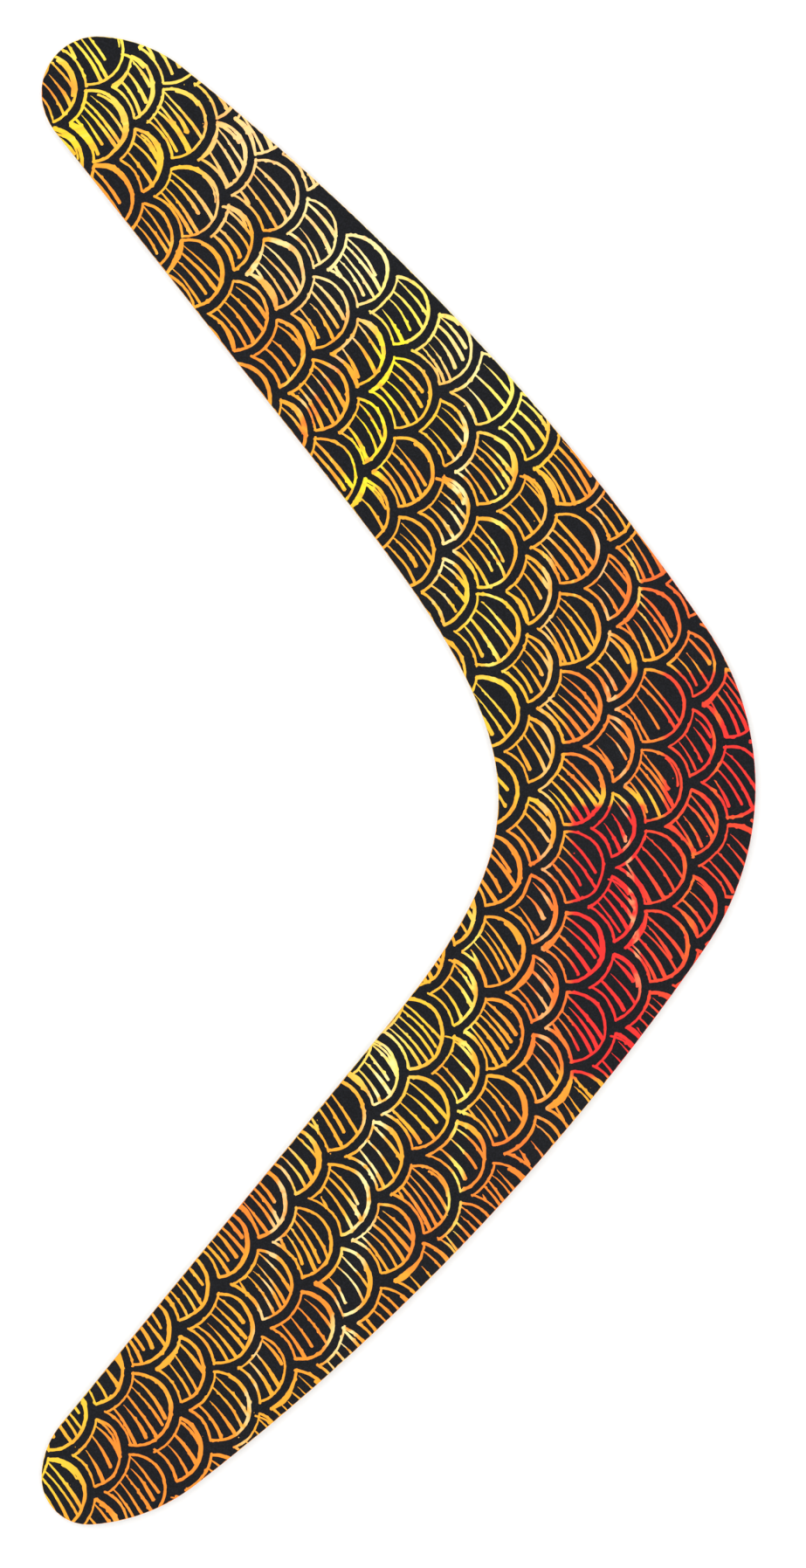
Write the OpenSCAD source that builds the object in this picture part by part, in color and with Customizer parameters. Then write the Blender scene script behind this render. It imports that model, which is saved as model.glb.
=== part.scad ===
// Scratch-art boomerang: a flat V-shaped blade die-cut from laminated board.
// It lies on its back. +Z runs up through the layers to the scratched face, +Y runs
// along the span and +X points to the elbow. The origin is the middle of the back
// face's box. Every layer is cut by one die, so all of them share one outline.

/* [Blade] */
// Span, from tip to tip
span = 300; // [220:1:400]
// Reach, from the outermost point of the tips to that of the elbow
reach = 144; // [115:1:190]
// Radius of the elbow's outer curve
elbow_r = 56.8; // [40:0.1:68]
// How far the elbow's centre lies below the middle of the span
elbow_drop = 1.3; // [-6:0.1:6]
// Board behind the crook, from where the inner edges would meet to the elbow's outside
crook_web = 35.9; // [24:0.1:46]
// How far that meeting point lies below the middle of the span
crook_drop = 2.6; // [-6:0.1:6]
// Sharpness of the crook: how far its curve's handles reach towards the meeting point
crook_pull = 0.83; // [0.5:0.01:0.95]

/* [Upper arm] */
// Radius of the tip
upper_tip_r = 11.3; // [7:0.1:18]
// Radius of the shoulder, between the outer edge and the tip
upper_shoulder_r = 29.3; // [20:0.1:50]
// Direction, in degrees from +X, at which the shoulder hands over to the tip
upper_shoulder_end = 87; // [70:1:90]
// Radius of the long bowed outer edge
upper_bow_r = 522; // [300:1:900]
// Radius of the heel, between the tip and the inner edge
upper_heel_r = 12.8; // [7:0.1:24]
// How much of the straight inner edge the crook's curve takes
upper_blend = 76.5; // [40:0.5:110]

/* [Lower arm] */
// Radius of the tip
lower_tip_r = 9.5; // [7:0.1:18]
// Radius of the shoulder, between the outer edge and the tip
lower_shoulder_r = 38.3; // [20:0.1:50]
// Direction, in degrees from +X, at which the shoulder hands over to the tip
lower_shoulder_end = 86; // [70:1:90]
// Radius of the long bowed outer edge
lower_bow_r = 485; // [300:1:900]
// Radius of the heel, between the tip and the inner edge
lower_heel_r = 16.6; // [7:0.1:24]
// How much of the straight inner edge the crook's curve takes
lower_blend = 60; // [40:0.5:110]

/* [Layers] */
// Paper glued to the back of the board
back_liner_t = 0.15; // [0.1:0.01:0.4]
// Each of the three greyboard plies of the core
core_ply_t = 0.5; // [0.3:0.01:1]
// Paper glued to the front of the board
front_liner_t = 0.15; // [0.1:0.01:0.4]
// Rainbow foil
foil_t = 0.08; // [0.03:0.01:0.2]
// Clear varnish that lets the coating scrape off the foil
varnish_t = 0.03; // [0.02:0.01:0.1]
// Black scratch-off coating
coating_t = 0.09; // [0.05:0.01:0.3]
// Foil left bare along the cut edge, where the die flakes the brittle coating
edge_reveal = 0.05; // [0:0.05:0.5]

/* [Hidden] */

// Most that a straight facet of the edge may cut inside its true curve
edge_tolerance = 0.01;
// Facets along the crook's curve
crook_facets = 48;

// An arm is its tip, shoulder, shoulder end, bow, heel and blend, in that order
UPPER_ARM = [upper_tip_r, upper_shoulder_r, upper_shoulder_end, upper_bow_r,
             upper_heel_r, upper_blend];
LOWER_ARM = [lower_tip_r, lower_shoulder_r, lower_shoulder_end, lower_bow_r,
             lower_heel_r, lower_blend];

// Heights of the layers' undersides, from the back up
core_lower_z = back_liner_t;
core_middle_z = core_lower_z + core_ply_t;
core_upper_z = core_middle_z + core_ply_t;
front_liner_z = core_upper_z + core_ply_t;
foil_z = front_liner_z + front_liner_t;
varnish_z = foil_z + foil_t;
coating_z = varnish_z + varnish_t;

function unit(a) = [cos(a), sin(a)];
function heading(v) = atan2(v.y, v.x);
function left_of(v) = [-v.y, v.x];

// Points mirrored to the lower side and taken backwards, all but the first, which the
// elbow's arc already has
function mirrored(list) = [for (i = [len(list) - 1:-1:1]) [list[i].x, -list[i].y]];

// Points of an arc, without its last one, so that the next arc can start there
function arc(centre, r, from, to) =
    let (turn = 2 * acos(1 - edge_tolerance / r), n = ceil(abs(to - from) / turn))
    [for (i = [0:n - 1]) centre + r * unit(from + (to - from) * i / n)];

// Both arms are worked out as an upper arm: side is 1 for the upper arm itself, and -1
// for the lower one, whose points are mirrored in the end
function elbow_centre(side) = [reach / 2 - elbow_r, -side * elbow_drop];
function crook_point(side) = [reach / 2 - crook_web, -side * crook_drop];
function tip_centre(arm) = [arm[0] - reach / 2, span / 2 - arm[0]];
function shoulder_centre(arm) = tip_centre(arm) + (arm[0] - arm[1]) * unit(arm[2]);
function heel_centre(arm) = tip_centre(arm) + [arm[4] - arm[0], 0];

// Centre of the bow, the large circle that touches the elbow and the shoulder inside it
function bow_centre(arm, side) =
    let (elbow = elbow_centre(side),
         gap = shoulder_centre(arm) - elbow,
         along = gap / norm(gap),
         from_elbow = arm[3] - elbow_r,
         from_shoulder = arm[3] - arm[1],
         foot = (from_elbow ^ 2 - from_shoulder ^ 2 + norm(gap) ^ 2) / (2 * norm(gap)))
    elbow + foot * along + sqrt(from_elbow ^ 2 - foot ^ 2) * left_of(along);

// Direction from the bow's centre in which the elbow hands over to the bow
function bow_start(arm, side) = heading(elbow_centre(side) - bow_centre(arm, side));

// Direction from the heel's centre in which the inner edge leaves for the crook
function heel_end(arm, side) =
    let (to_crook = crook_point(side) - heel_centre(arm))
    360 + heading(to_crook) - acos(arm[4] / norm(to_crook));

// Point on the inner edge at which the crook's curve begins
function blend_point(arm, side) = crook_point(side) + arm[5] * unit(heel_end(arm, side) - 90);

// An arm's edge, from the elbow round the tip to the inner edge
function arm_edge(arm, side, inset) =
    let (bow = bow_centre(arm, side),
         bow_end = heading(shoulder_centre(arm) - bow),
         last = heel_end(arm, side))
    concat(arc(bow, arm[3] - inset, bow_start(arm, side), bow_end),
           arc(shoulder_centre(arm), arm[1] - inset, bow_end, arm[2]),
           arc(tip_centre(arm), arm[0] - inset, arm[2], 180),
           arc(heel_centre(arm), arm[4] - inset, 180, last),
           [heel_centre(arm) + (arm[4] - inset) * unit(last)]);

// The crook: a cubic curve between the two inner edges, moved inwards by the inset
function crook_edge(inset) =
    let (a = blend_point(UPPER_ARM, 1),
         d = [blend_point(LOWER_ARM, -1).x, -blend_point(LOWER_ARM, -1).y],
         b = a + crook_pull * (crook_point(1) - a),
         c = d + crook_pull * (crook_point(1) - d))
    [for (i = [0:crook_facets])
        let (t = i / crook_facets, s = 1 - t,
             p = s ^ 3 * a + 3 * s ^ 2 * t * b + 3 * s * t ^ 2 * c + t ^ 3 * d,
             v = s ^ 2 * (b - a) + 2 * s * t * (c - b) + t ^ 2 * (d - c))
        p + inset * left_of(v) / norm(v)];

// The whole cut edge, or the same edge moved inwards
function blade_edge(inset = 0) =
    concat(arc(elbow_centre(1), elbow_r - inset,
               -bow_start(LOWER_ARM, -1), bow_start(UPPER_ARM, 1)),
           arm_edge(UPPER_ARM, 1, inset),
           crook_edge(inset),
           mirrored(arm_edge(LOWER_ARM, -1, inset)));

module layer(z, thickness, inset = 0) {
    translate([0, 0, z]) linear_extrude(thickness) polygon(blade_edge(inset));
}

module back_liner() { color("#e6e1d6") layer(0, back_liner_t); }
module core_lower_ply() { color("#a49c8e") layer(core_lower_z, core_ply_t); }
module core_middle_ply() { color("#998f81") layer(core_middle_z, core_ply_t); }
module core_upper_ply() { color("#a49c8e") layer(core_upper_z, core_ply_t); }
module front_liner() { color("#efece4") layer(front_liner_z, front_liner_t); }
module rainbow_foil() { color("#f59a3c") layer(foil_z, foil_t); }
module release_varnish() { color("#f7c873", 0.4) layer(varnish_z, varnish_t); }
module scratch_coating() { color("#28282c") layer(coating_z, coating_t, edge_reveal); }

back_liner();
core_lower_ply();
core_middle_ply();
core_upper_ply();
front_liner();
rainbow_foil();
release_varnish();
scratch_coating();
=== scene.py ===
# %% [markdown]
# # A scratch-art boomerang
# This boomerang is cut from stiff board. Its face carries a rainbow foil, and the foil is
# hidden by a black coating that a wooden stylus can scrape away. Somebody has scratched a
# fish-scale pattern, so the foil shines through hundreds of fine lines.
#
# The packed model gives every layer at its true size. It comes in as a frame that nothing
# may move, and the looks are built round it. The finished object has to stay inside it.

# %% Load the frame
import math
import random

import bmesh
import bpy
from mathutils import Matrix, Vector
from mathutils.geometry import delaunay_2d_cdt


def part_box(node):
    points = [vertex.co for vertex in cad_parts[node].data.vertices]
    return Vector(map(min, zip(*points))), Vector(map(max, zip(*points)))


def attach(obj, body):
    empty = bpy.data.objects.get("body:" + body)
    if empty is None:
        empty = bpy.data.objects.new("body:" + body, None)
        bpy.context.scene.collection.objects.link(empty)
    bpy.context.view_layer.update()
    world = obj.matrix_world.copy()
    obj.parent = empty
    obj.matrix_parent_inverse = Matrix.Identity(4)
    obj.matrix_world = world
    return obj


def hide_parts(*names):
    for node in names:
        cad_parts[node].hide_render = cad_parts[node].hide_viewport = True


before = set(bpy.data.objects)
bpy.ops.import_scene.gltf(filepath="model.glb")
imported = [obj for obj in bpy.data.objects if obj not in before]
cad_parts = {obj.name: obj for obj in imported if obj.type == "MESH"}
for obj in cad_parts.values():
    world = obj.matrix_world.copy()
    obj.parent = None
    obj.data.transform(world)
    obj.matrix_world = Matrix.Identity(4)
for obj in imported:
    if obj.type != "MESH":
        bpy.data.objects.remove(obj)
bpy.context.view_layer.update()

MM = 0.001
print("layers:", sorted(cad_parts))

# %% [markdown]
# ## Camera
# The blade is seen square to its face, with the upper tip at the top of the picture. A
# long lens from far away keeps the far and near parts of a flat thing at one scale. The
# lens's sensor is as long as the picture's long side, so the distance follows from how
# much of the table the picture's height should take in.

# %% Camera
LENS = 100
SENSOR = 36
SEEN_HEIGHT = 316 * MM
AIM = Vector((0.9, -0.7, 2)) * MM

camera = bpy.data.objects.new("camera", bpy.data.cameras.new("camera"))
camera.data.lens = LENS
camera.data.sensor_width = SENSOR
camera.location = AIM + Vector((0, 0, SEEN_HEIGHT * LENS / SENSOR))
bpy.context.scene.collection.objects.link(camera)
bpy.context.scene.camera = camera
print("camera height:", round(camera.location.z, 3), "m")

# %% [markdown]
# ## Reading the layers
# Everything that is added has to fit the packed layers, so their heights and their
# outline are read from the frame. A packed mesh is loose triangles. A copy of it is
# merged, its top triangles are dissolved into a single face, and that face's corners are
# the outline, already in order. From here on, flat work is done in millimetres.

# %% Heights and outlines of the layers
def outline_of(node):
    """A layer's outline, as a ring of points in millimetres, anticlockwise from above."""
    bm = bmesh.new()
    bm.from_mesh(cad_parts[node].data)
    bmesh.ops.remove_doubles(bm, verts=bm.verts, dist=0.001 * MM)
    top = [face for face in bm.faces if face.normal.z > 0.9]
    face = bmesh.ops.dissolve_faces(bm, faces=top)["region"][0]
    ring = [vert.co.xy / MM for vert in face.verts]
    bm.free()
    return ring


foil_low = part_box("rainbow_foil")[0].z
foil_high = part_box("release_varnish")[1].z
coating_low, coating_high = (corner.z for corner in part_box("scratch_coating"))
foil_ring = outline_of("rainbow_foil")
coating_ring = outline_of("scratch_coating")
half_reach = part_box("rainbow_foil")[1].x / MM
half_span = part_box("rainbow_foil")[1].y / MM
print("outline corners:", len(foil_ring), "coating:", round((coating_high - coating_low) / MM, 3), "mm")

# %% [markdown]
# ## A hand that wobbles
# No two lines of the pattern are alike, and none has clean edges, because the coating
# chips as the stylus ploughs through it. One seeded source of randomness stands for the
# hand, so every run scratches the same pattern. `wobble` gives a smooth random curve:
# random values at even steps, eased into each other.

# %% The hand
hand = random.Random(11)


def wobble(length, spacing, reach):
    """A function of the distance along a line that wanders smoothly within the reach."""
    knots = [hand.uniform(-reach, reach) for _ in range(int(length / spacing) + 3)]

    def at(distance):
        knot, share = divmod(max(distance, 0) / spacing, 1)
        ease = share * share * (3 - 2 * share)
        return knots[int(knot)] * (1 - ease) + knots[int(knot) + 1] * ease

    return at


def direction(degrees):
    return Vector((math.cos(math.radians(degrees)), math.sin(math.radians(degrees))))


def heading(vector):
    return math.degrees(math.atan2(vector.y, vector.x))


def left_of(vector):
    return Vector((-vector.y, vector.x))


print("first draws:", [round(wobble(5, 1, 1)(2), 3) for _ in range(3)])

# %% [markdown]
# ## One pass of the stylus
# A scratched line is a ribbon: its middle follows the hand's path, and its two edges
# swell with the pressure and chip at random. The ribbon ends in a blunt point. It is kept
# as a flat polygon for now, because cutting hundreds of crossing lines out of one flat
# sheet is quick and exact, while cutting hundreds of thin solids from each other isn't.

# %% Strokes
STEP = 0.45  # mm between the points of a path
CHIP = 0.065  # mm that the edges of a line chip in or out
CHIP_EVERY = 0.5  # mm along the line
BURR = 0.24  # mm that a bigger chip breaks out
BURR_ODDS = 0.05  # how often a point has one
THINNEST = 0.05  # mm, half of the thinnest line
BLUNT = 0.6  # how far an end's point stands out, in half widths


def stroke(path, width, press=lambda share: 1, chip=CHIP):
    """The ribbon that a pass of the stylus leaves along a path, as a ring of points."""
    steps = [0]
    for a, b in zip(path, path[1:]):
        steps.append(steps[-1] + (b - a).length)
    length = steps[-1]
    edges = [wobble(length, CHIP_EVERY, chip) for _ in range(2)]
    sides = [[], []]
    for i, (point, distance) in enumerate(zip(path, steps)):
        ahead = (path[min(i + 1, len(path) - 1)] - path[max(i - 1, 0)]).normalized()
        half = width / 2 * press(distance / length)
        for side, edge, sign in zip(sides, edges, (-1, 1)):
            burr = BURR * hand.random() if hand.random() < BURR_ODDS else 0
            out = max(half + edge(distance) + burr, THINNEST)
            side.append(point + left_of(ahead) * sign * out)
    right, left = sides
    start = (path[0] - path[1]).normalized() * width / 2 * press(0) * BLUNT
    end = (path[-1] - path[-2]).normalized() * width / 2 * press(1) * BLUNT
    return [path[0] + start] + right + [path[-1] + end] + left[::-1]


def arc_path(centre, radius, first, last, sway=0.12):
    """Points along an arc drawn by hand, from one heading to another in degrees."""
    length = math.radians(abs(last - first)) * radius
    count = max(round(length / STEP), 3)
    drift = wobble(length, 3.5, sway)
    return [centre + direction(first + (last - first) * i / count)
            * (radius + drift(length * i / count)) for i in range(count + 1)]


def bulge(middle, spread, extra):
    """A pressure that swells smoothly round one place along the line."""
    return lambda share: 1 + extra * math.exp(-((share - middle) / spread) ** 2)


print("a stroke has", len(stroke(arc_path(Vector((0, 0)), 7.4, 90, -90), 0.8)), "corners")

# %% [markdown]
# ## The lattice of scales
# The scales stand in columns, wide and narrow by turns, and each column is half a row
# out of step with its neighbours. The maker worked freehand, so the columns wander as
# they go down the blade, and the rows sink towards both tips. Near the tips the narrow
# columns drift so far that the two kinds change places. `along` reads such a wander from
# a few heights.

# %% Centres of the scales
COLUMN_PITCH = 16.45  # mm from one wide column to the next
NARROW_STEP = 6.75  # mm from a wide column to the narrow one on its right
ROW_PITCH = 16.12  # mm from one scale down to the next in its column
FIRST_ROW = 62.3  # height of row 0
ROW_RISE = 0.03  # rows climb slightly to the right
LOOSENESS = 0.28  # mm that a scale strays from its place
COLUMNS = range(-7, 7)  # more of them than the blade can hold
ROWS = range(-8, 15)
# How far the columns have wandered to the right, in mm, at some heights down the blade
WANDER = {
    "wide": [(160, -8.5), (127, -5.1), (111, -3.6), (95, -0.9), (62, 0), (0, 0.7),
             (-67, 2.4), (-95, 4.1), (-131, 2.4)],
    "narrow": [(160, -4.8), (135, -3), (103, 0), (62, 0), (0, 0.7), (-67, 2.4),
               (-83, 4.2), (-95, 6.2), (-139, 5.2)],
}
# How far the rows have sunk, in mm, at some heights down the blade
SINKING = [(160, 2.2), (145, 1.8), (125, 0.3), (100, -0.5), (75, 0.2), (-60, 0.4), (-80, 1.3),
           (-105, 2.1), (-150, 2.3)]


def along(heights, y):
    """The value at a height, from a list of heights and values that goes down the blade."""
    for (upper, a), (lower, b) in zip(heights, heights[1:]):
        if y >= lower:
            return a + (b - a) * min(max((upper - y) / (upper - lower), 0), 1)
    return heights[-1][1]


def scale_centre(kind, column, row):
    narrow = kind == "narrow"
    y = FIRST_ROW - ROW_PITCH * (row + 0.5 * narrow)
    x = COLUMN_PITCH * column + NARROW_STEP * narrow + along(WANDER[kind], y)
    stray = Vector((hand.gauss(0, LOOSENESS), hand.gauss(0, LOOSENESS)))
    return Vector((x, y + ROW_RISE * x - along(SINKING, y))) + stray


centres = {(kind, column, row): scale_centre(kind, column, row)
           for kind in WANDER for column in COLUMNS for row in ROWS}
print("places for scales:", len(centres))

# %% [markdown]
# ## One scale
# A scale is closed by three strokes. The round front is an arc about the scale's own
# centre. The two hollow backs follow the fronts of the scales above and below on the
# left, a little outside them, so that a black gap is left between neighbours. Where two
# of these circles meet, the strokes meet in a cusp. Three to five hatch strokes run from
# the upper back down to the front. They start thin and swell, and some stop short.

# %% Sizes of a scale
FRONT_R = 7.0  # mm, radius of a scale's front
BACK_R = 9.2  # mm, radius of the hollow backs, about the neighbours' centres
FRONT_W = 0.58  # mm, width of the front's stroke
BACK_W = 0.46  # mm, width of the backs' strokes
HATCH_W = 0.475  # mm, width of a hatch stroke
HATCH_CHIP = 0.04  # mm that its edges chip
HATCH_FALL = -49  # its direction in degrees, down to the right
HATCH_TURN = 9  # degrees by which the strokes get steeper towards the left cusp
HATCH_SWELL = 1.25  # how wide it gets, in shares of its own width
SHORTEST_HATCH, LONGEST_HATCH = 1.2, 14  # mm
LATE_ODDS = 0.22  # how often a hatch stroke starts only inside the scale
SHORT_ODDS = 0.3  # how often it stops before the front
AGAIN_ODDS = 0.4  # how often the front is scratched twice
BROAD_ODDS = 0.2  # how often a back is pressed broad
WIDE_COUNTS = (4, 4, 4, 5, 5, 5)  # hatch strokes of a scale in a wide place
NARROW_COUNTS = (3, 3, 3, 4)


def meeting(c0, r0, c1, r1, side):
    """Where two circles meet, on the left of the way from c0 to c1, or the right if -1."""
    gap = c1 - c0
    foot = (r0 * r0 - r1 * r1 + gap.length_squared) / (2 * gap.length)
    height = math.sqrt(max(r0 * r0 - foot * foot, 0))
    return c0 + gap.normalized() * foot + left_of(gap.normalized()) * side * height


print("two circles meet at", meeting(Vector((0, 0)), 5, Vector((6, 0)), 5, 1))

# %% One hatch stroke
def reach_of(point, ray, centre, radius, far):
    """How far along a ray a circle is met: at its far side, or its near side if not far."""
    to = centre - point
    middle = to.dot(ray)
    half_sq = radius * radius - (to.length_squared - middle * middle)
    if half_sq < 0:
        return math.inf
    met = middle + math.sqrt(half_sq) * (1 if far else -1)
    return met if met > 0 else math.inf


def hatch(start, fall, centre, front_r, below):
    """One hatch stroke, from the upper back down to the front."""
    ray = direction(fall)
    length = min(reach_of(start, ray, centre, front_r, True),
                 reach_of(start, ray, below, BACK_R, False))
    if not SHORTEST_HATCH < length < LONGEST_HATCH:
        return None
    late = hand.random() < LATE_ODDS
    begin = hand.uniform(0.5, 1.1) if late else 0
    if hand.random() < SHORT_ODDS:
        length *= hand.uniform(0.72, 0.93)
    bow = hand.uniform(0.02, 0.07) * length
    sway = wobble(length, 3, 0.07)
    count = max(round((length - begin) / STEP), 2)
    path = []
    for i in range(count + 1):
        distance = begin + (length - begin) * i / count
        share = distance / length
        path.append(start + ray * distance
                    + left_of(ray) * (bow * 4 * share * (1 - share) + sway(distance)))
    thin = 0.2 if late else hand.uniform(0.3, 0.85)  # its width at the start, in shares too
    return stroke(path, HATCH_W * hand.uniform(0.85, 1.45),
                  lambda share: thin + (HATCH_SWELL - thin) * min(share * 1.35, 1), HATCH_CHIP)


print("a ray meets a circle after", reach_of(Vector((-9, 0)), direction(0), Vector((0, 0)), 5, True))

# %% All the strokes of one scale
def scale_strokes(centre, above, below, wide_place):
    """All the strokes of one scale, given its centre and its two neighbours' on the left."""
    front_r = FRONT_R * hand.uniform(0.98, 1.03)
    cusp = meeting(above, BACK_R, below, BACK_R, 1)
    top = meeting(above, BACK_R, centre, front_r, 1)
    bottom = meeting(below, BACK_R, centre, front_r, -1)
    strokes = []

    # The front, from the top cusp clockwise to the bottom one
    front = arc_path(centre, front_r, heading(top - centre) + hand.uniform(-1, 3),
                     heading(bottom - centre) - hand.uniform(-1, 2), sway=0.16)
    strokes.append(stroke(front, FRONT_W * hand.uniform(0.85, 1.15),
                          bulge(hand.uniform(0.2, 0.6), 0.22, hand.uniform(0, 0.9))))
    if hand.random() < AGAIN_ODDS:
        # A second, shorter pass just inside the front, which often leaves a thin slit
        begin = hand.uniform(50, 85)
        again = arc_path(centre + direction(begin) * 0.1, front_r - hand.uniform(0.3, 0.8),
                         begin, begin - hand.uniform(35, 75), sway=0.2)
        strokes.append(stroke(again, FRONT_W * hand.uniform(0.5, 1.2)))

    # The two backs, from the left cusp, which they overshoot a little at either end
    for neighbour, end, turn in ((above, top, 1), (below, bottom, -1)):
        back = arc_path(neighbour, BACK_R,
                        heading(cusp - neighbour) - turn * hand.uniform(-1, 3.5),
                        heading(end - neighbour) + turn * hand.uniform(-1, 3), sway=0.14)
        broad = hand.uniform(0.6, 2.2) if hand.random() < BROAD_ODDS else hand.uniform(0, 0.4)
        strokes.append(stroke(back, BACK_W * hand.uniform(0.85, 1.15),
                              bulge(hand.uniform(0, 0.8), 0.35, broad)))

    # The hatching, spread along the upper back from its top
    count = hand.choice(WIDE_COUNTS if wide_place else NARROW_COUNTS)
    first, last = heading(top - above), heading(cusp - above)
    fall = HATCH_FALL + hand.gauss(0, 3)
    for i in range(count):
        share = (i + hand.uniform(0.25, 0.5)) / (count + 0.3)
        start = above + direction(first + (last - first) * share) * BACK_R
        angle = fall - HATCH_TURN * share + hand.gauss(0, 1.5)
        made = hatch(start, angle, centre, front_r, below)
        if made:
            strokes.append(made)
    return strokes


print("a scale has", len(scale_strokes(Vector((0, 0)), Vector((-9.7, 8)), Vector((-9.7, -8)),
                                       True)), "strokes")

# %% [markdown]
# ## Scratching the whole face
# Every scale whose centre is on the blade or near its edge is drawn. Strokes simply run
# off the edge, as the stylus did. Only along one stretch of the upper arm did the hand
# leave out the slivers, and a black margin is left. Small specks follow, where crumbs of
# coating came away.

# %% Where a scale shows
NEAR = 12  # mm outside the blade at which part of a scale still shows
BARE_EDGE = (85, 120)  # heights between which the upper arm's outer edge has no slivers


def inside(point, ring):
    """Whether a point is inside a ring of points."""
    odd = False
    for a, b in zip(ring, ring[1:] + ring[:1]):
        if (a.y > point.y) != (b.y > point.y):
            if point.x < a.x + (b.x - a.x) * (point.y - a.y) / (b.y - a.y):
                odd = not odd
    return odd


def near_blade(point):
    """Whether a point is on the blade, or so near its edge that a scale there still shows."""
    if inside(point, coating_ring):
        return True
    for a, b in zip(coating_ring, coating_ring[1:] + coating_ring[:1]):
        share = (point - a).dot(b - a) / (b - a).length_squared
        if (a + (b - a) * min(max(share, 0), 1) - point).length < NEAR:
            return True
    return False


def on_bare_edge(point):
    """Whether a scale would show only as a sliver on the upper arm's bare outer edge."""
    low, high = BARE_EDGE
    blade_on_left = inside(point - Vector((NEAR, 0)), coating_ring)
    return low < point.y < high and blade_on_left and not inside(point, coating_ring)


shown = [centre for centre in centres.values() if near_blade(centre) and not on_bare_edge(centre)]
print("scales that show:", len(shown))

# %% All the strokes
SPECKS = 170  # thrown at the blade's box, so that about a third land on the blade
SPECK_REACH = (0.06, 0.17)  # mm from a speck's middle to its corners, before they vary

strokes = []
for (kind, column, row), centre in centres.items():
    if kind == "wide":
        above, below = ("narrow", column - 1, row - 1), ("narrow", column - 1, row)
    else:
        above, below = ("wide", column, row), ("wide", column, row + 1)
    if centre in shown and above in centres and below in centres:
        wide_place = centre.x - centres[above].x > COLUMN_PITCH / 2
        strokes += scale_strokes(centre, centres[above], centres[below], wide_place)

for _ in range(SPECKS):
    place = Vector((hand.uniform(-half_reach, half_reach), hand.uniform(-half_span, half_span)))
    if inside(place, coating_ring):
        reach = hand.uniform(*SPECK_REACH)
        turn = hand.uniform(0, 360)
        strokes.append([place + direction(turn + 90 * k) * reach * hand.uniform(0.6, 1.4)
                        for k in range(4)])
print("strokes:", len(strokes), "corners:", sum(len(ring) for ring in strokes))

# %% [markdown]
# ## Cutting the coating
# The coating's outline and all strokes go through a constrained triangulation together.
# It finds every crossing, and tells for each triangle which shapes cover it. The
# triangles that only the outline covers are the coating that is left.
#
# The die also flakes the brittle coating along the cut edge, so the outline is nibbled
# inwards before it is cut: hardly at most places, and deeper at a few.

# %% Cut the flat sheet
NIBBLE = 0.12  # mm at most that the edge is flaked back
NIBBLE_EVERY = 0.6  # mm along the edge
SAME_POINT = 1e-5  # mm within which two corners are one


def nibbled(ring):
    """The ring with its edge flaked inwards at random, at even steps."""
    points, carry = [], 0
    for a, b in zip(ring, ring[1:] + ring[:1]):
        along_edge = (b - a).normalized()
        distance = carry
        while distance < (b - a).length:
            point = a + along_edge * distance
            points.append(point + left_of(along_edge) * NIBBLE * hand.random() ** 3)
            distance += NIBBLE_EVERY
        carry = distance - (b - a).length
    return points


def cut_sheet(outline, holes):
    """Corners and triangles of a flat sheet with all the holes cut out of it."""
    points, faces = [], []
    for ring in [outline] + holes:
        faces.append(list(range(len(points), len(points) + len(ring))))
        points += ring
    corners, _, triangles, _, _, covers = delaunay_2d_cdt(points, [], faces, 1, SAME_POINT)
    kept = [triangle for triangle, cover in zip(triangles, covers) if cover == [0]]
    return corners, kept


corners, triangles = cut_sheet(nibbled(coating_ring), strokes)
print("triangles left on top:", len(triangles))

# %% [markdown]
# ## From a flat sheet to a coating
# The triangles become faces of a mesh. Flakes smaller than a grain of sand wouldn't have
# stayed on, so they are dropped. Where two flakes touch at a single point, the point is
# split, so that each flake is a solid of its own. Then the whole sheet is extruded by the
# coating's thickness. The strokes close off most scales' insides from the web of black
# between them, so the web and the islands are made as two pieces.

# %% One sheet of flakes
PINCH_GAP = 0.01 * MM  # how far the corners of two flakes that touch are drawn in


def flakes_of(bm):
    """The groups of faces that hang together through edges."""
    groups, seen = [], set()
    for face in bm.faces:
        if face in seen:
            continue
        group, open_faces = [], [face]
        seen.add(face)
        while open_faces:
            current = open_faces.pop()
            group.append(current)
            for edge in current.edges:
                for other in edge.link_faces:
                    if other not in seen:
                        seen.add(other)
                        open_faces.append(other)
        groups.append(group)
    return groups


def sheet_mesh(corners, triangles, z):
    bm = bmesh.new()
    verts = [bm.verts.new((p.x * MM, p.y * MM, z)) for p in corners]
    for triangle in triangles:
        bm.faces.new([verts[i] for i in triangle])
    bmesh.ops.delete(bm, geom=[v for v in bm.verts if not v.link_faces], context="VERTS")
    for face in bm.faces:
        face.normal_update()
        if face.normal.z < 0:
            face.normal_flip()
    return bm


def split_pinches(bm):
    """Separates flakes that touch at one point, and draws the new corners apart."""
    pinched = [v for v in bm.verts if sum(e.is_boundary for e in v.link_edges) > 2]
    for vert in pinched:
        for part in bmesh.utils.vert_separate(vert, [e for e in vert.link_edges if e.is_boundary]):
            middle = sum((f.calc_center_median() for f in part.link_faces), Vector())
            middle /= len(part.link_faces)
            part.co += (middle - part.co).normalized() * PINCH_GAP
    return len(pinched)


sheet = sheet_mesh(corners, triangles, coating_low)
print("pinches:", split_pinches(sheet))

# %% Build the coating
SMALLEST_FLAKE = 0.03  # square mm
LARGEST_ISLAND = 60  # square mm


def add_piece(bm, name):
    """Turns a bmesh into an object that rides on the blade."""
    mesh = bpy.data.meshes.new(name)
    bm.to_mesh(mesh)
    bm.free()
    piece = bpy.data.objects.new(name, mesh)
    bpy.context.scene.collection.objects.link(piece)
    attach(piece, "root")
    print(name, "faces:", len(mesh.polygons))
    return piece


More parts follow.
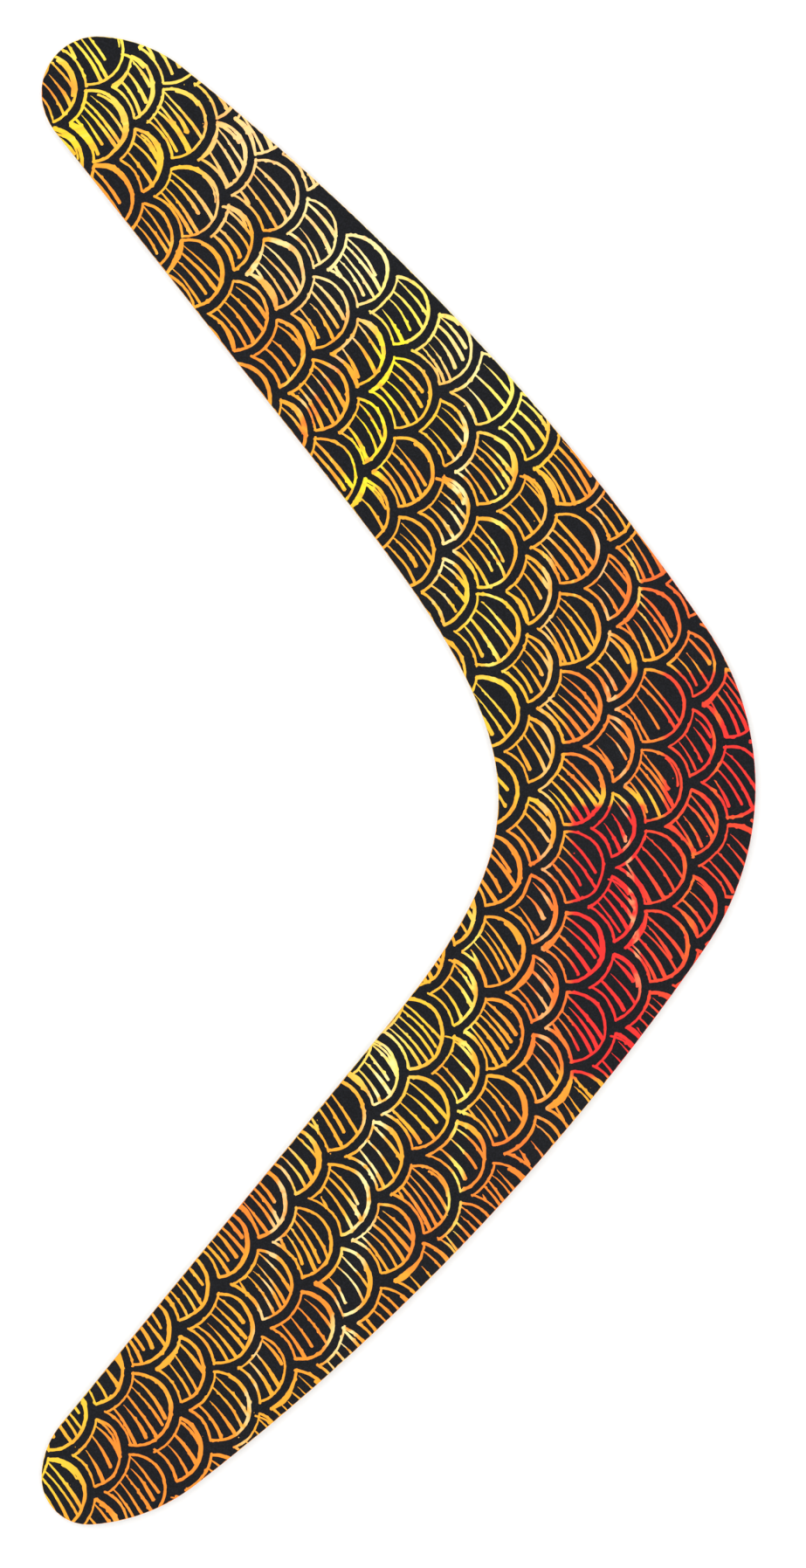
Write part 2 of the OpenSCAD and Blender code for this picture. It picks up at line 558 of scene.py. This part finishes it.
def thicken(bm, height):
    """Extrudes a flat sheet upwards into a closed solid with its faces outwards."""
    under = list(bm.faces)
    grown = bmesh.ops.extrude_face_region(bm, geom=under)["geom"]
    lifted = [item for item in grown if isinstance(item, bmesh.types.BMVert)]
    bmesh.ops.translate(bm, verts=lifted, vec=(0, 0, height))
    bmesh.ops.recalc_face_normals(bm, faces=bm.faces)


def without(bm, unwanted):
    """A copy of the sheet that has lost the faces with these indices."""
    rest = bm.copy()
    gone = [face for face in rest.faces if face.index in unwanted]
    bmesh.ops.delete(rest, geom=gone, context="FACES")
    return rest


sheet.faces.index_update()
crumbs, islands, web = set(), set(), set()
for flake in flakes_of(sheet):
    area = sum(face.calc_area() for face in flake) / MM**2
    group = crumbs if area < SMALLEST_FLAKE else islands if area < LARGEST_ISLAND else web
    group.update(face.index for face in flake)
print("crumbs:", len(crumbs), "islands:", len(islands), "web:", len(web))

coating_pieces = []
for name, unwanted in (("coating_web", crumbs | islands), ("coating_islands", crumbs | web)):
    part = without(sheet, unwanted)
    thicken(part, coating_high - coating_low)
    piece = add_piece(part, name)
    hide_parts("scratch_coating")
    coating_pieces.append(piece)
sheet.free()

# %% [markdown]
# ## The foil and its varnish
# The varnish is clear and lies on the foil without a gap, so the two are modelled as one
# skin whose shader has a clear coat. The skin is the foil's outline, made one face and
# extruded up to the varnish's top. Its upper rim is bevelled a little, because the die
# presses the soft film down as it cuts.

# %% Foil
RIM = 0.03 * MM  # how far the upper rim is rounded


def plate(ring, low, high, name):
    """A closed plate over a ring of points in millimetres."""
    bm = bmesh.new()
    face = bm.faces.new([bm.verts.new((p.x * MM, p.y * MM, low)) for p in ring])
    thicken(bm, high - low)
    rim = [edge for edge in bm.edges
           if all(v.co.z > (low + high) / 2 for v in edge.verts) and edge.is_manifold]
    bmesh.ops.bevel(bm, geom=rim, offset=RIM, segments=2, profile=0.5,
                    affect="EDGES", material=-1)
    return add_piece(bm, name)


foil = plate(foil_ring, foil_low, foil_high, "lacquered_foil")
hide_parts("rainbow_foil", "release_varnish")

# %% [markdown]
# ## Shader sums in plain Python
# Shader graphs get hard to read when every sum is a node that is wired by hand. `Value`
# wraps an output socket, so that `1 - mask * 0.5` adds the Math nodes by itself.
# `Material` makes a material and adds any other node by its type, its settings and the
# values or links of its sockets.

# %% Sums on sockets
class Value:
    """An output socket that can be added, subtracted, multiplied and divided."""

    def __init__(self, tree, socket):
        self.tree, self.socket = tree, socket

    def math(self, operation, *values):
        node = self.tree.nodes.new("ShaderNodeMath")
        node.operation = operation
        for slot, value in zip(node.inputs, values):
            connect(self.tree, slot, value)
        return Value(self.tree, node.outputs[0])

    def __add__(self, other):
        return self.math("ADD", self, other)

    def __radd__(self, other):
        return self.math("ADD", other, self)

    def __sub__(self, other):
        return self.math("SUBTRACT", self, other)

    def __rsub__(self, other):
        return self.math("SUBTRACT", other, self)

    def __mul__(self, other):
        return self.math("MULTIPLY", self, other)

    def __rmul__(self, other):
        return self.math("MULTIPLY", other, self)

    def __truediv__(self, other):
        return self.math("DIVIDE", self, other)

    def __abs__(self):
        return self.math("ABSOLUTE", self)


def connect(tree, slot, value):
    """Links a socket to a Value, or sets it to a plain number, colour or vector."""
    if isinstance(value, Value):
        tree.links.new(value.socket, slot)
    else:
        slot.default_value = value


print("a Value can do:", [name for name, member in vars(Value).items() if callable(member)])

# %% Materials and their nodes
MIX_SHARE, MIX_A, MIX_B, MIX_RESULT = 0, 6, 7, 2  # a colour Mix node's own sockets


class Material:
    """A material with one Principled surface, and a short way to add nodes to it."""

    def __init__(self, name):
        self.data = bpy.data.materials.new(name)
        self.data.use_nodes = True
        self.tree = self.data.node_tree
        self.surface = self.tree.nodes["Principled BSDF"]
        self.place = self.node("ShaderNodeTexCoord", out="Object")

    def node(self, kind, settings=None, inputs=None, out=0):
        made = self.tree.nodes.new(kind)
        for key, value in (settings or {}).items():
            setattr(made, key, value)
        for key, value in (inputs or {}).items():
            connect(self.tree, made.inputs[key], value)
        return Value(self.tree, made.outputs[out])

    def set(self, **values):
        """Sets sockets of the surface: base_color stands for Base Color, and so on."""
        for key, value in values.items():
            slot = self.surface.inputs[key.replace("_", " ").title().replace("Ior", "IOR")]
            connect(self.tree, slot, value)

    def mix(self, share, a, b):
        """A colour that goes from a to b as the share goes from 0 to 1."""
        return self.node("ShaderNodeMix", {"data_type": "RGBA"},
                         {MIX_SHARE: share, MIX_A: a, MIX_B: b}, MIX_RESULT)

    def noise(self, size, detail=2, vector=None):
        """Noise whose blotches are about this size, in metres."""
        return self.node("ShaderNodeTexNoise", None,
                         {"Vector": vector or self.place, "Scale": 1 / size,
                          "Detail": detail}, "Fac")

    def ramp(self, value, low, high):
        """0 below the low value, 1 above the high one, and smooth between."""
        return self.node("ShaderNodeMapRange", {"interpolation_type": "SMOOTHSTEP"},
                         {"Value": value, "From Min": low, "From Max": high}, "Result")

    def stretch(self, x, y, z):
        """The object's coordinates, scaled along each axis."""
        return self.node("ShaderNodeVectorMath", {"operation": "MULTIPLY"},
                         {0: self.place, 1: (x, y, z)})

    def split(self, vector):
        """The three parts of a vector."""
        parts = self.node("ShaderNodeSeparateXYZ", None, {0: vector}).socket.node.outputs
        return [Value(self.tree, part) for part in parts]

    def bump(self, height, distance, strength=1.0):
        return self.node("ShaderNodeBump", None,
                         {"Height": height, "Distance": distance, "Strength": strength},
                         "Normal")

    def wear(self, *objects):
        """Gives this material to objects, in place of what they had."""
        for thing in objects:
            thing.data.materials.clear()
            thing.data.materials.append(self.data)


def srgb(red, green, blue):
    """A colour from everyday values up to 255, as the linear values that shaders use."""
    def linear(value):
        share = value / 255
        return share / 12.92 if share <= 0.04045 else ((share + 0.055) / 1.055) ** 2.4
    return (linear(red), linear(green), linear(blue), 1)


print("orange in linear values:", [round(v, 3) for v in srgb(245, 150, 50)])

# %% [markdown]
# ## Black coating
# Scratch-off coating is a dry, chalky ink. It is nearly black with a breath of blue, and
# under a lens it is grainy. A fine noise lifts some grains, and a broader one makes a few
# soft, slightly shinier places where fingers have rubbed it.

# %% Coating material
def coating_material():
    material = Material("scratch coating")
    grain = material.noise(0.35 * MM, detail=4)
    rubbed = material.ramp(material.noise(28 * MM, detail=3), 0.48, 0.7)
    ink = material.mix(material.ramp(grain, 0.35, 0.72), srgb(12, 13, 16), srgb(26, 27, 32))
    material.set(base_color=ink, roughness=0.72 - rubbed * 0.1 + grain * 0.1,
                 normal=material.bump(grain, 0.02 * MM, 0.5))
    material.set(specular_ior_level=0.16)
    return material


coating_material().wear(*coating_pieces)

# %% [markdown]
# ## Rainbow foil
# The foil is a thin metallised film with a hologram pressed into it. It has no single
# colour: broad patches of yellow, amber, orange and red drift into each other, and some of
# its pressed panels end at straight seams. Highlights are painted into this colour too:
# pale discs, and pale rays and streaks that fan out from above the blade, stand in for
# the glints of light on the hologram. It could be a picture, but a procedure stays sharp
# however near one looks. So soft discs, panels and rays are laid over each other from
# three lists. Places are given as shares of the half reach and half span, so they stay
# put if the blade changes size.

# %% Foil colours
# LEMON, CREAM and PEACH, and YELLOW in the widest ray, mostly paint highlights; the rest are the foil's
# own colours
YELLOW = srgb(254, 232, 40)
LEMON = srgb(255, 234, 104)
CREAM = srgb(255, 235, 162)
PEACH = srgb(253, 212, 142)
GOLD = srgb(253, 205, 52)
AMBER = srgb(251, 171, 42)
ORANGE = srgb(248, 141, 36)
EMBER = srgb(243, 103, 38)
SCARLET = srgb(240, 67, 38)
CRIMSON = srgb(238, 42, 38)

# Discs of the foil's own colours, and pale discs of painted highlight
# Across, along, radius in mm, colour and strength, down the blade from the upper tip
COLOUR_AND_SHEEN_DISCS = [
    (-0.72, 0.98, 25, LEMON, 0.8), (-0.85, 0.97, 14, YELLOW, 0.5), (-0.97, 0.93, 7, ORANGE, 0.6),
    (-0.90, 0.87, 9, YELLOW, 0.7), (-0.64, 0.84, 13, GOLD, 0.8), (-0.76, 0.79, 8, ORANGE, 0.8),
    (-0.66, 0.71, 15, ORANGE, 0.5), (-0.50, 0.77, 9, PEACH, 0.6), (-0.40, 0.86, 15, PEACH, 1),
    (-0.24, 0.79, 13, PEACH, 0.9), (-0.28, 0.67, 11, PEACH, 0.6), (-0.39, 0.58, 14, ORANGE, 0.8),
    (-0.10, 0.70, 17, CREAM, 1.0), (0.08, 0.63, 16, LEMON, 0.9), (0.22, 0.57, 13, CREAM, 0.8),
    (0.09, 0.48, 9, GOLD, 0.8), (0.32, 0.51, 14, LEMON, 1), (0.40, 0.44, 9, GOLD, 0.8),
    (0.07, 0.34, 12, AMBER, 0.7), (0.22, 0.24, 14, GOLD, 0.9), (0.36, 0.31, 12, AMBER, 0.9),
    (0.58, 0.42, 14, ORANGE, 1), (0.54, 0.29, 12, ORANGE, 1), (0.62, 0.22, 9, EMBER, 0.4),
    (0.76, 0.25, 17, EMBER, 1), (0.94, 0.16, 18, EMBER, 1), (0.26, 0.10, 13, GOLD, 1),
    (0.40, 0.06, 13, AMBER, 1), (0.36, -0.13, 15, ORANGE, 1), (0.27, -0.01, 8, GOLD, 0.8),
    (0.40, -0.30, 17, ORANGE, 1), (0.10, -0.32, 11, GOLD, 1), (-0.04, -0.37, 11, LEMON, 0.9),
    (0.08, -0.44, 9, GOLD, 0.7), (0.36, -0.46, 12, ORANGE, 1), (-0.20, -0.54, 14, AMBER, 1),
    (-0.40, -0.58, 14, ORANGE, 1), (0.02, -0.60, 12, ORANGE, 0.7), (-0.58, -0.72, 20, AMBER, 1),
    (-0.26, -0.73, 15, ORANGE, 1), (-0.02, -0.71, 8, ORANGE, 0.8), (-0.72, -0.92, 22, ORANGE, 1),
    (-0.97, -0.93, 10, GOLD, 1), (-0.88, -0.84, 9, GOLD, 0.9),
]

# Left, right, bottom and top edges, softness, colour and strength of the pressed panels
PANELS = [
    (0.47, 0.75, -0.02, 0.15, 0.01, EMBER, 0.7), (0.74, 1.10, -0.05, 0.15, 0.01, SCARLET, 1),
    (0.84, 1.10, -0.05, 0.10, 0.04, CRIMSON, 0.9), (0.66, 1.10, -0.36, -0.05, 0.01, SCARLET, 1),
    (0.36, 0.50, -0.39, -0.10, 0.03, EMBER, 0.7), (0.48, 0.69, -0.40, -0.03, 0.015, CRIMSON, 1),
    (0.33, 0.72, -0.032, -0.012, 0.01, GOLD, 0.6), (0.35, 0.94, 0.146, 0.162, 0.008, AMBER, 0.7),
    (0.02, 0.16, -0.66, -0.475, 0.01, EMBER, 0.4), (0.16, 0.42, -0.65, -0.48, 0.01, EMBER, 0.6),
    (-0.20, 0.40, 0.40, 0.415, 0.008, ORANGE, 0.5), (-0.84, -0.45, -1.0, -0.84, 0.02, ORANGE, 0.7),
]

# From, to, half width in mm, colour and strength of the rays: painted highlights, most of them pale
PAINTED_SHEEN_RAYS = [
    ((0.03, 0.66), (-0.14, 0.34), 5.5, YELLOW, 1), ((-0.12, 0.84), (-0.46, 0.65), 3.4, CREAM, 0.8),
    ((-0.06, 0.63), (-0.31, 0.48), 1.6, PEACH, 0.8), ((-0.15, 0.58), (-0.30, 0.44), 2, EMBER, 0.7),
    ((0.24, 0.62), (0.10, 0.19), 2.6, CREAM, 0.9), ((0.32, 0.62), (0.24, 0.06), 2.4, LEMON, 0.9),
    ((0.42, 0.45), (0.40, -0.55), 1.6, PEACH, 0.5), ((0.55, 0.42), (0.61, 0.05), 1.4, PEACH, 0.6),
    ((0.60, 0.16), (0.68, -0.32), 1, PEACH, 0.5), ((0.84, 0.00), (0.80, -0.26), 2.2, ORANGE, 0.5),
    ((0.22, -0.12), (0.14, -0.68), 2.2, LEMON, 0.9), ((-0.01, -0.30), (-0.19, -0.84), 3.4, CREAM, 1),
    ((-0.29, -0.44), (-0.46, -0.96), 1.8, PEACH, 0.9), ((0.90, 0.14), (0.88, -0.10), 1.2, ORANGE, 0.4),
]
# The spot that the painted highlight rays and streaks fan out from
LIGHT_SPOT = (0.36, 1.05)  # where the rays fan out from


def on_blade(across, along_blade):
    return Vector((across * half_reach, along_blade * half_span, 0)) * MM


print("glows:", len(COLOUR_AND_SHEEN_DISCS), "panels:", len(PANELS), "rays:", len(PAINTED_SHEEN_RAYS))

# %% [markdown]
# ## Masks for the foil
# Each disc, panel or ray is a mask that is 1 inside it and 0 outside. A disc's mask
# falls with the distance to its middle. A panel's is the product of four soft steps. A
# ray's measures how far a place is from the ray's line, and how far along it, with dot
# products. Before that, a slow noise bends the places a little, so no edge is ruled.

# %% Masks
BEND = 5 * MM  # how far the noise bends places
BEND_SIZE = 14 * MM


def vector_math(material, operation, a, b, out=0):
    return material.node("ShaderNodeVectorMath", {"operation": operation}, {0: a, 1: b}, out)


def bent_place(material, bend, size):
    """The object's coordinates, pushed about by a slow noise."""
    drift = material.node("ShaderNodeTexNoise", None,
                          {"Vector": material.place, "Scale": 1 / size, "Detail": 1}, "Color")
    push = vector_math(material, "SUBTRACT", drift, (0.5, 0.5, 0.5))
    push = vector_math(material, "MULTIPLY", push, (bend, bend, 0))
    return vector_math(material, "ADD", material.place, push)


def disc_mask(material, place, middle, radius):
    flat = vector_math(material, "MULTIPLY", place, (1, 1, 0))
    gap = vector_math(material, "DISTANCE", flat, middle, "Value")
    return material.ramp(gap, radius, radius * 0.2)


def panel_mask(material, across, along_blade, left, right, bottom, top, soft):
    sideways = abs(across - (left + right) / 2) - (right - left) / 2
    upwards = abs(along_blade - (bottom + top) / 2) - (top - bottom) / 2
    return material.ramp(sideways, soft, -soft) * material.ramp(upwards, soft / 2, -soft / 2)


def ray_mask(material, place, start, end, half_width):
    line = end - start
    ahead = line.normalized()
    aside = Vector((-ahead.y, ahead.x, 0))
    gap = vector_math(material, "DOT_PRODUCT", place, aside, "Value") - start.dot(aside)
    along_ray = vector_math(material, "DOT_PRODUCT", place, ahead, "Value") - start.dot(ahead)
    off_middle = abs(along_ray - line.length / 2)
    return (material.ramp(abs(gap), half_width, half_width * 0.3)
            * material.ramp(off_middle, line.length / 2, line.length * 0.3))


print("light spot:", [round(v, 3) for v in on_blade(*LIGHT_SPOT)])

# %% Foil material
def fan_of_sheen_streaks(material):
    """Fine streaks of painted sheen that all point to the light spot."""
    spot = on_blade(*LIGHT_SPOT)
    x, y, _ = material.split(material.place)
    sideways, depth = x - spot.x, spot.y - y
    angle = sideways.math("ARCTAN2", sideways, depth)
    fan = material.node("ShaderNodeCombineXYZ", None, {0: angle, 1: depth * 0.6})
    return material.noise(0.022, detail=3, vector=fan)


def foil_colour(material):
    """The drifting colours of the film, with highlights painted in: discs, streaks, panels, rays."""
    place = bent_place(material, BEND, BEND_SIZE)
    shade = AMBER
    for x, y, radius, colour, strength in COLOUR_AND_SHEEN_DISCS:
        mask = disc_mask(material, place, on_blade(x, y), radius * MM)
        shade = material.mix(mask * strength, shade, colour)
    sheen_streaks = fan_of_sheen_streaks(material)
    # Painted sheen: where the fine streaks are high the colour turns lemon as glints, where low it
    # turns ember
    shade = material.mix(material.ramp(sheen_streaks, 0.6, 0.7) * 0.5, shade, LEMON)
    shade = material.mix(material.ramp(sheen_streaks, 0.46, 0.34) * 0.25, shade, EMBER)
    x, y, _ = material.split(bent_place(material, BEND * 0.15, BEND_SIZE / 4))
    across, along_blade = x / (half_reach * MM), y / (half_span * MM)
    for left, right, bottom, top, soft, colour, strength in PANELS:
        mask = panel_mask(material, across, along_blade, left, right, bottom, top, soft)
        shade = material.mix(mask * strength, shade, colour)
    ray_place = bent_place(material, BEND * 0.3, BEND_SIZE / 2)
    # The painted highlight rays show only in flecks, as glints on the hologram do
    flecks = material.ramp(material.noise(2.2 * MM), 0.3, 0.55)
    for start, end, half_width, colour, strength in PAINTED_SHEEN_RAYS:
        mask = ray_mask(material, ray_place, on_blade(*start), on_blade(*end), half_width * MM)
        shade = material.mix(mask * flecks * strength, shade, colour)
    return shade


def foil_material():
    material = Material("rainbow foil")
    colour = foil_colour(material)
    speckle = material.noise(1.2 * MM)
    material.set(base_color=colour, metallic=0.8, roughness=0.3 + speckle * 0.12,
                 normal=material.bump(speckle, 0.05 * MM, 0.4), coat_weight=0.3)
    material.set(coat_roughness=0.12)
    return material


foil_material().wear(foil)

# %% [markdown]
# ## Board and papers
# The core is greyboard, pressed from waste paper, so its cut edge is a fuzz of grey and
# brown fibres that lie flat. The liners are plain papers. Their thin cut edges show as
# two pale lines, and the back liner is also the whole underside.
#
# On the back, single fibres can be made out. A fibre is a thin, curving line. Noise passes
# through its middle value along just such lines, so `strands` keeps only the places close
# to it, and a second noise hides most of them, which leaves short ends.

# %% Board and paper materials
def strands(material, size):
    """Short, thin, curving fibres, in a noise of this size."""
    off_middle = abs(material.noise(size, detail=1) - 0.5)
    shown = material.ramp(material.noise(size * 1.3, detail=0), 0.53, 0.62)
    return material.ramp(off_middle, 0.016, 0.004) * shown


def fibrous(name, dark, light, fleck, roughness, hairy=False):
    """Paper or board: fibres lying flat, with a few flecks of another colour."""
    material = Material(name)
    flat = material.stretch(1, 1, 5)
    pulp = material.noise(0.5 * MM, detail=5, vector=flat)
    clouds = material.ramp(material.noise(7 * MM, detail=4), 0.3, 0.7)
    flecks = material.ramp(material.noise(0.7 * MM, detail=1, vector=flat), 0.68, 0.74)
    shade = material.mix(pulp * 0.7 + clouds * 0.3, dark, light)
    relief = pulp
    if hairy:
        dark_fibres, light_fibres = strands(material, 2.4 * MM), strands(material, 1.6 * MM)
        shade = material.mix(dark_fibres * 0.35, shade, fleck)
        shade = material.mix(light_fibres * 0.6, shade, light)
        relief = pulp + (dark_fibres + light_fibres) * 0.3
    material.set(base_color=material.mix(flecks * 0.6, shade, fleck), roughness=roughness,
                 normal=material.bump(relief, 0.08 * MM, 0.6))
    material.set(specular_ior_level=0.25)
    return material


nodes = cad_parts
outer_ply = fibrous("greyboard", srgb(128, 120, 108), srgb(178, 170, 156), srgb(84, 78, 72), 0.92)
inner_ply = fibrous("inner greyboard", srgb(112, 104, 93), srgb(164, 155, 141),
                    srgb(80, 72, 66), 0.95)
outer_ply.wear(nodes["core_lower_ply"], nodes["core_upper_ply"])
inner_ply.wear(nodes["core_middle_ply"])
fibrous("white liner", srgb(224, 221, 213), srgb(244, 242, 237), srgb(206, 201, 190),
        0.8).wear(nodes["front_liner"])
fibrous("back liner", srgb(198, 190, 175), srgb(230, 225, 214), srgb(140, 128, 110),
        0.85, hairy=True).wear(nodes["back_liner"])

# %% [markdown]
# ## Table and light
# A pale matt table and an even white sky show a flat print best. A broad lamp from the
# upper left adds the soft shadow that lets the board's thickness be seen.

# %% Table and light
TABLE_SIZE = 6  # m from its middle to each side
SKY_STRENGTH = 1.21


def make_table():
    bm = bmesh.new()
    bmesh.ops.create_grid(bm, x_segments=1, y_segments=1, size=TABLE_SIZE)
    mesh = bpy.data.meshes.new("table")
    bm.to_mesh(mesh)
    bm.free()
    table = bpy.data.objects.new("table", mesh)
    bpy.context.scene.collection.objects.link(table)
    material = Material("pale table")
    material.set(base_color=srgb(250, 250, 250), roughness=0.9)
    material.wear(table)


def lamp(name, place, size, power):
    light = bpy.data.lights.new(name, "AREA")
    light.size, light.energy = size, power
    holder = bpy.data.objects.new(name, light)
    holder.location = place
    holder.rotation_euler = (-Vector(place)).to_track_quat("-Z", "Y").to_euler()
    bpy.context.scene.collection.objects.link(holder)


make_table()
lamp("soft box", place=(-1.5, 1.6, 1.5), size=1.2, power=10)

world = bpy.data.worlds.new("white sky")
world.use_nodes = True
world.node_tree.nodes["Background"].inputs["Color"].default_value = (1, 1, 1, 1)
world.node_tree.nodes["Background"].inputs["Strength"].default_value = SKY_STRENGTH
bpy.context.scene.world = world
bpy.context.scene.view_settings.view_transform = "Standard"
print("lights:", [thing.name for thing in bpy.data.lights], "sky:", world.name)

# %% [markdown]
